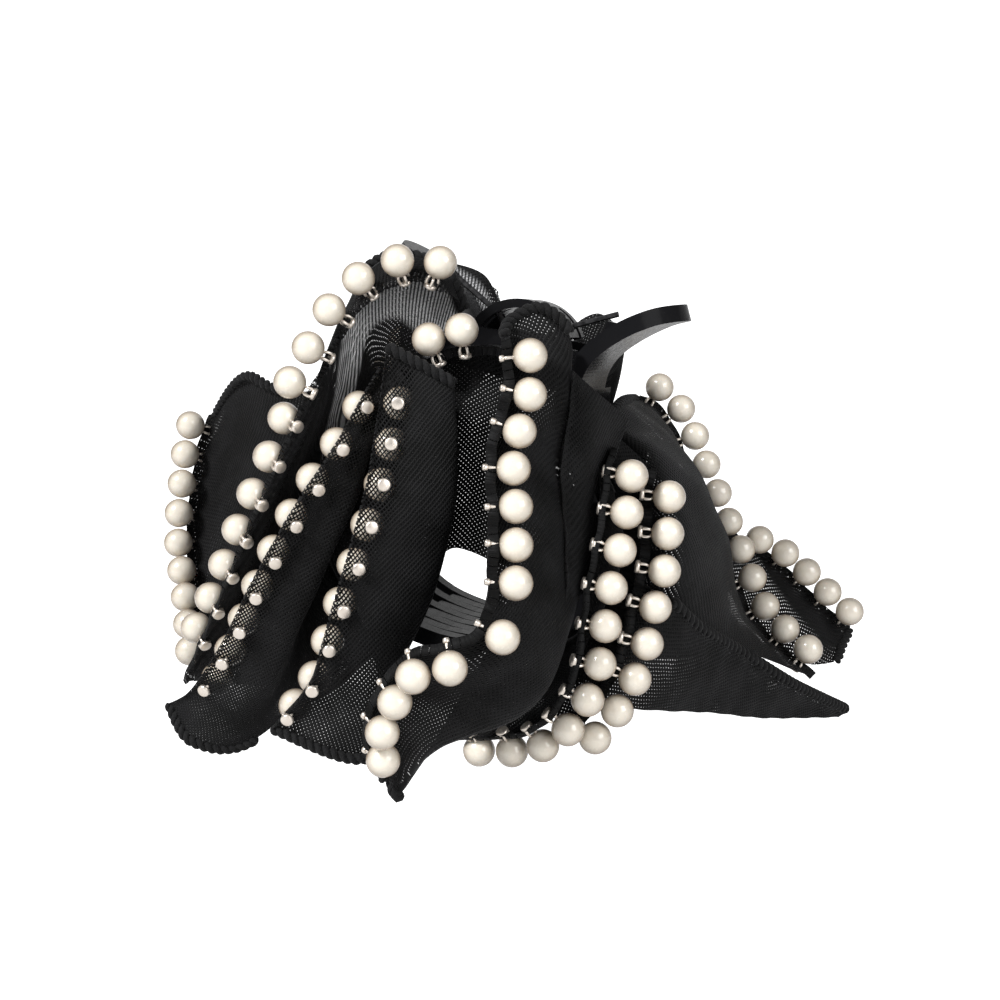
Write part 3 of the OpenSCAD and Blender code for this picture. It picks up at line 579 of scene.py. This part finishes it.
def turned(profile, sides=20):
    """Vertices and faces of a shape turned about Z. profile is (radius, z), from its top to its lower end."""
    verts = []
    for r, z in profile[1:-1]:
        for k in range(sides):
            b = 2 * math.pi * k / sides
            verts.append((r * math.cos(b), r * math.sin(b), z))
    rings = len(profile) - 2
    faces = [f[::-1] for f in tube_faces(rings, sides, closed=False)]
    top = len(verts)
    verts += [(0, 0, profile[0][1]), (0, 0, profile[-1][1])]
    for k in range(sides):
        faces.append((top, k, (k + 1) % sides))
        a = (rings - 1) * sides
        faces.append((top + 1, a + (k + 1) % sides, a + k))
    return np.array(verts), faces


def axes_to(n):
    """Rotation whose Z axis is n."""
    z = n / np.linalg.norm(n)
    x = np.cross([0, 0, 1] if abs(z[2]) < 0.9 else [1, 0, 0], z)
    x /= np.linalg.norm(x)
    return np.stack([x, np.cross(z, x), z], 1)


def rivet_cap(r):
    """Flat cap with a rounded rim, across the cloth from its pearl. Z runs from the cap to the pearl."""
    return turned([(0, -0.06), (r * 0.8, -0.06), (r, -0.2), (r, -0.55), (r * 0.93, -0.72), (r * 0.78, -0.8),
                   (0, -0.82)], 20)


def with_prongs(cap, paths, radii):
    """The cap and a tube along each path."""
    verts, faces = [cap[0]], list(cap[1])
    total = len(cap[0])
    for path in paths:
        v = tube(along(path, np.linspace(0, 1, len(radii))), np.array(radii), 8)
        verts.append(v)
        faces += [tuple(i + total for i in f) for f in tube_faces(len(radii), 8)]
        total += len(v)
    return np.concatenate(verts), faces


def claw_rivet():
    """Cap with four claws that reach through the cloth to the pearl."""
    reach = ((0.80, -0.2), (0.86, 0.3), (0.80, 0.8), (0.60, 1.15))
    paths = [[(d * math.cos(a), d * math.sin(a), z) for d, z in reach]
             for a in math.pi / 4 + math.pi / 2 * np.arange(4)]
    return with_prongs(rivet_cap(HEAD_D / 2), paths, [0.24, 0.24, 0.24, 0.23, 0.22, 0.2, 0.15])


def pin_rivet():
    """Small cap with one pin through the cloth into the pearl."""
    return with_prongs(rivet_cap(HEAD_D / 4), [[(0, 0, -0.2), (0, 0, 0.5), (0, 0, 1.5)]], [0.3] * 4)


PEARL_MESH = sphere_mesh(PEARL_D / 2)
CLAW_MESH = claw_rivet()
PIN_MESH = pin_rivet()


def row_places(rails, inset, distances, side):
    """(point on the sheet, normal to the pearl) for each pearl of a row, spaced along the pearls' centres."""
    def place(u):
        v = inset[0] + (inset[1] - inset[0]) * u
        return at(rails, u, v), side * normal_at(rails, u, v)

    us = np.linspace(0, 1, 51)
    s = lengths(np.array([q + n * PEARL_OFF for q, n in map(place, us)]))
    return [place(float(np.interp(d, s, us))) for d in distances if d < s[-1]]


def copies(name, node, body, material, shape, placings):
    """One object made of the same shape at each placing (3x3 axes, place in mm)."""
    verts, faces = shape
    all_v, all_f = [], []
    for k, (axes, place) in enumerate(placings):
        all_v.append(placed(verts @ axes.T + place))
        all_f += [tuple(i + k * len(verts) for i in f) for f in faces]
    obj = mesh_object(name, np.concatenate(all_v), all_f, material)
    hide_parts(node)
    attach(obj, body)


def trim_row(group, body, sheets, inset, distances, side, rivet=CLAW_MESH):
    """Pearls and rivets of a row on each of the sheets. # in group stands for pearls or rivets."""
    places = [p for rails in sheets for p in row_places(rails, inset, distances, side)]
    pearls = [(np.eye(3), q + n * PEARL_OFF) for q, n in places]
    rivets = [(axes_to(n), q - n * CAP_GAP) for q, n in places]
    pearl_node = group.replace("#", "pearls")
    rivet_node = group.replace("#", "rivets")
    copies(pearl_node + "_strung", pearl_node, body, PEARL, PEARL_MESH, pearls)
    copies(rivet_node + "_clawed", rivet_node, body, PLATING, rivet, rivets)


# ---- cords ----


def twisted(path, diameter):
    """Vertices and faces of two plied strands round a path, in mm."""
    ring_pitch = 0.22
    length = lengths(path)
    count = max(int(length[-1] / ring_pitch), 12)
    even = np.stack([np.interp(np.linspace(0, length[-1], count), length, path[:, k]) for k in range(3)], 1)
    _, a, b = frames_along(even)
    turn = 2 * math.pi * np.linspace(0, length[-1], count) / LAY
    verts, faces = [], []
    for k in range(2):
        phase = turn + k * math.pi
        strand = even + diameter * 0.23 * (np.cos(phase)[:, None] * a + np.sin(phase)[:, None] * b)
        taper = np.minimum(1, np.minimum(np.arange(count), np.arange(count)[::-1]) / 3 + 0.45)
        verts.append(tube(strand, diameter * 0.29 * taper, 8))
        faces += tube_faces(count, 8, k * count * 8)
    return np.concatenate(verts), faces


def end_path(rails, u, v0, v1):
    """Path along one end of a sheet, just clear of it."""
    vs = np.linspace(v0, v1, 25)
    rim = grid(rails, [u], vs)[0]
    inner = grid(rails, [u - 0.02 if u > 0.5 else u + 0.02], vs)[0]
    out = rim - inner
    out /= np.linalg.norm(out, axis=1)[:, None]
    return rim + out * 0.5


def line_path(rails, v, u0, u1):
    """Path along the line v of a sheet, on the outside of its bend."""
    us = np.linspace(u0, u1, 33)
    line = grid(rails, us, [v])[:, 0]
    sides = grid(rails, us, [max(v - 0.12, 0)])[:, 0] + grid(rails, us, [v + 0.12])[:, 0]
    out = 2 * line - sides
    out /= np.linalg.norm(out, axis=1)[:, None]
    return line + out * 0.6


def cords(name, node, body, paths):
    verts, faces, total = [], [], 0
    for path in paths:
        v, f = twisted(path, CORD_D)
        verts.append(v)
        faces += [tuple(i + total for i in g) for g in f]
        total += len(v)
    obj = mesh_object(name, placed(np.concatenate(verts)), faces, YARN)
    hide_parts(node)
    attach(obj, body)


# ---- the clip ----

for node, material in (("left_jaw", PLASTIC), ("right_jaw", PLASTIC),
                       ("hinge_pin", STEEL), ("torsion_spring", STEEL)):
    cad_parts[node].data.materials.clear()
    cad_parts[node].data.materials.append(material)

# ---- the ruffles ----

LEFT_1 = [LEFT_1_EDGE, LEFT_1_FOLD, core(-1, -JAW_HALF - 1.5, -1.3)]
LEFT_2 = [LEFT_2_EDGE, LEFT_2_MIDDLE, LEFT_2_FOLD, core(-1, -JAW_HALF - 0.5, 2.6),
          core(-1, -JAW_HALF + 2, 1.2)]
LEFT_3 = [LEFT_3_EDGE, LEFT_3_RIM, LEFT_3_WALL, core(-1, -JAW_HALF + 4.5, 1.2)]
LEFT_4 = [LEFT_4_EDGE, LEFT_4_FOLD, LEFT_4_INNER, core(-1, -4, 1)]
COLLAR = [COLLAR_EDGE, COLLAR_SHELF, COLLAR_MIDDLE, COLLAR_HEM]
RIGHT_1 = [RIGHT_1_EDGE, RIGHT_1_GUTTER, RIGHT_1_PANEL, RIGHT_1_FOLD, core(1, -JAW_HALF - 0.7, -2.6)]
RIGHT_2 = [RIGHT_2_EDGE, RIGHT_2_GUTTER, core(1, -JAW_HALF + 1.5, 1.8), core(1, -JAW_HALF + 4.5, 1.2)]
RIGHT_3 = [RIGHT_3_EDGE, RIGHT_3_GUTTER, core(1, -JAW_HALF + 9, 1)]
RIGHT_4 = [RIGHT_4_EDGE, RIGHT_4_BULGE, RIGHT_4_FRONT, core(1, -1.5, 1)]

# nets that start a little further in than their solids, or run on under their neighbours
SKIRT_NET = [[start] + rail for start, rail in zip(
    ([30.5, -12, 31], [26, -12.5, 20], [22, -12.5, 12]), SKIRT)]
COLLAR_NET = [rail + [end] for rail, end in zip(
    COLLAR, ([11.5, -20, 65], [12, -17.5, 64.5], [12.5, -17.5, 52], [12.5, -17.5, 36]))]
COLLAR_NET[3] = [[x, y, z - 2.5] for x, y, z in COLLAR_NET[3]]
TONGUE_NET = [[start] + rail for start, rail in zip(
    ([32, 34.5, 38.5], [33, 33.5, 34], [35, 32.5, 29]), TONGUE)]
# the cloth that gathers between the right half's first two ruffles
GATHER = [[[21, -19.5, 63], [20, -18.5, 56], [19, -19, 48], [20, -20.5, 38], [20.5, -22, 29]],
          [[24, -17.5, 60], [23.5, -17, 53.5], [22.5, -17, 47], [22, -18.5, 38], [21.8, -19.5, 30]],
          [[27.5, -10, 55.5], [25.5, -9.5, 50], [24, -12.5, 45.5], [23.5, -16, 37], [22.5, -17, 30]]]

for node, body, rails, cells_u, cells_v, paired, net, full_side in (
        ("left_ruffle_1", "left_half", LEFT_1, 90, 70, False, SHORT_EDGED_NET, 0),
        ("left_ruffle_2", "left_half", LEFT_2, 90, 80, True, EDGED_NET, 0),
        ("left_ruffle_3", "left_half", LEFT_3, 110, 80, True, ARCH_NET, 0),
        ("left_ruffle_4", "left_half", LEFT_4, 80, 90, False, NET_CLOTH, 1),
        ("left_collar", "left_half", COLLAR_NET, 40, 50, False, NET_CLOTH, 1),
        ("right_ruffle_1", "right_half", RIGHT_1, 110, 90, True, NET_CLOTH, 1),
        ("right_ruffle_2", "right_half", RIGHT_2, 90, 60, True, NET_CLOTH, 0),
        ("right_ruffle_3", "right_half", RIGHT_3, 80, 50, False, NET_CLOTH, 1),
        ("right_ruffle_4", "right_half", RIGHT_4, 90, 110, False, NET_CLOTH, -1),
        ("right_skirt", "right_half", SKIRT_NET, 70, 30, False, LOOSE_NET, 0),
        ("right_tongue", "right_half", TONGUE_NET, 60, 30, False, LOOSE_NET, -1)):
    ruffle(node + "_net", node, body, rails, cells_u, cells_v, net, full_side)
    if paired:
        back = [mirrored(r) for r in rails]
        ruffle(node + "_back_net", node, body, back, cells_u, cells_v, net, -full_side)
ruffle("right_gather_net", "right_ruffle_2", "right_half", GATHER, 60, 40, NET_CLOTH)

# ---- the trim ----

trim_row("left_#_1", "left_half", [LEFT_1], FACING_IN, ROW_LEFT_1, -1)
trim_row("left_#_2", "left_half", [LEFT_2], NET_IN, ROW_LEFT_2, -1)
trim_row("left_#_3", "left_half", [LEFT_3], ARCH_IN, ROW_LEFT_3, -1)
trim_row("left_#_4", "left_half", [LEFT_4], EDGE_IN, ROW_LEFT_4, 1)
trim_row("left_#_collar", "left_half", [COLLAR], EDGE_IN, ROW_COLLAR, 1)
trim_row("left_#_back", "left_half", [[mirrored(r) for r in sheet] for sheet in (LEFT_2, LEFT_3)],
         EDGE_IN, ROW_LEFT_BACK, 1)
trim_row("right_#_1", "right_half", [RIGHT_1], EDGE_IN, ROW_RIGHT_1, 1, PIN_MESH)
trim_row("right_#_2", "right_half", [RIGHT_2], HEM_IN, ROW_RIGHT_2, 1)
trim_row("right_#_3", "right_half", [RIGHT_3], EDGE_IN, ROW_RIGHT_3, 1)
trim_row("right_#_4", "right_half", [RIGHT_4], EDGE_IN, ROW_RIGHT_4, -1)
trim_row("right_#_tongue", "right_half", [TONGUE], EDGE_IN, ROW_TONGUE, -1)
trim_row("right_#_back", "right_half", [[mirrored(r) for r in sheet] for sheet in (RIGHT_1, RIGHT_2)],
         EDGE_IN, ROW_RIGHT_BACK, -1)

cords("left_cords_plied", "left_cords", "left_half",
      [end_path(LEFT_1, 0, 0, 0.5), end_path(LEFT_1, 1, 0, 0.5), end_path(LEFT_2, 1, 0, 0.5),
       line_path(LEFT_3, 0.33, 0, 0.3), end_path(LEFT_4, 0, 0, 0.67)])
cords("right_cords_plied", "right_cords", "right_half",
      [end_path(RIGHT_1, 0, 0, 0.7), end_path(RIGHT_1, 1, 0, 0.7), end_path(RIGHT_4, 0, 0, 0.6),
       end_path(TONGUE, 1, 0, 1), line_path(SKIRT, 0, 0, 1)])

# ---- stage, light and camera ----


def stage_sheet():
    """Pale floor that curves up into a backdrop behind the clip."""
    front, back, bend, height, half = -0.9, 0.9, 0.35, 1.2, 1.6
    profile = [(front, 0.0), (back, 0.0)]
    profile += [(back + bend * math.sin(a), bend - bend * math.cos(a))
                for a in np.linspace(0.1, math.pi / 2, 12)]
    profile += [(back + bend, height)]
    verts = [(x, y, z) for y, z in profile for x in (-half, half)]
    faces = [(2 * i, 2 * i + 1, 2 * i + 3, 2 * i + 2) for i in range(len(profile) - 1)]
    obj = mesh_object("floor", verts, faces, stage_material())


def softbox(name, place, target, size, power):
    light = bpy.data.lights.new(name, "AREA")
    light.shape = "SQUARE"
    light.size = size
    light.energy = power
    obj = bpy.data.objects.new(name, light)
    obj.location = place
    obj.rotation_euler = (Vector(target) - Vector(place)).to_track_quat("-Z", "Y").to_euler()
    bpy.context.scene.collection.objects.link(obj)


stage_sheet()
softbox("key", (-0.45, -0.65, 0.75), (0, 0, 0.04), 0.28, 13.5)
softbox("fill", (0.8, -0.5, 0.4), (0, 0, 0.04), 0.6, 5.5)

world = bpy.data.worlds.new("studio")
world.use_nodes = True
world.node_tree.nodes["Background"].inputs["Color"].default_value = (1, 1, 1, 1)
world.node_tree.nodes["Background"].inputs["Strength"].default_value = 0.14
bpy.context.scene.world = world
bpy.context.scene.view_settings.view_transform = "Standard"

camera_data = bpy.data.cameras.new("camera")
camera_data.lens = 57.6
camera_data.sensor_width = 36
camera_data.clip_start = 0.01
camera = bpy.data.objects.new("camera", camera_data)
camera.location = placed([71, -247, 69])
camera.rotation_euler = (math.radians(90 - 6.1), 0, math.radians(15))
bpy.context.scene.collection.objects.link(camera)
bpy.context.scene.camera = camera
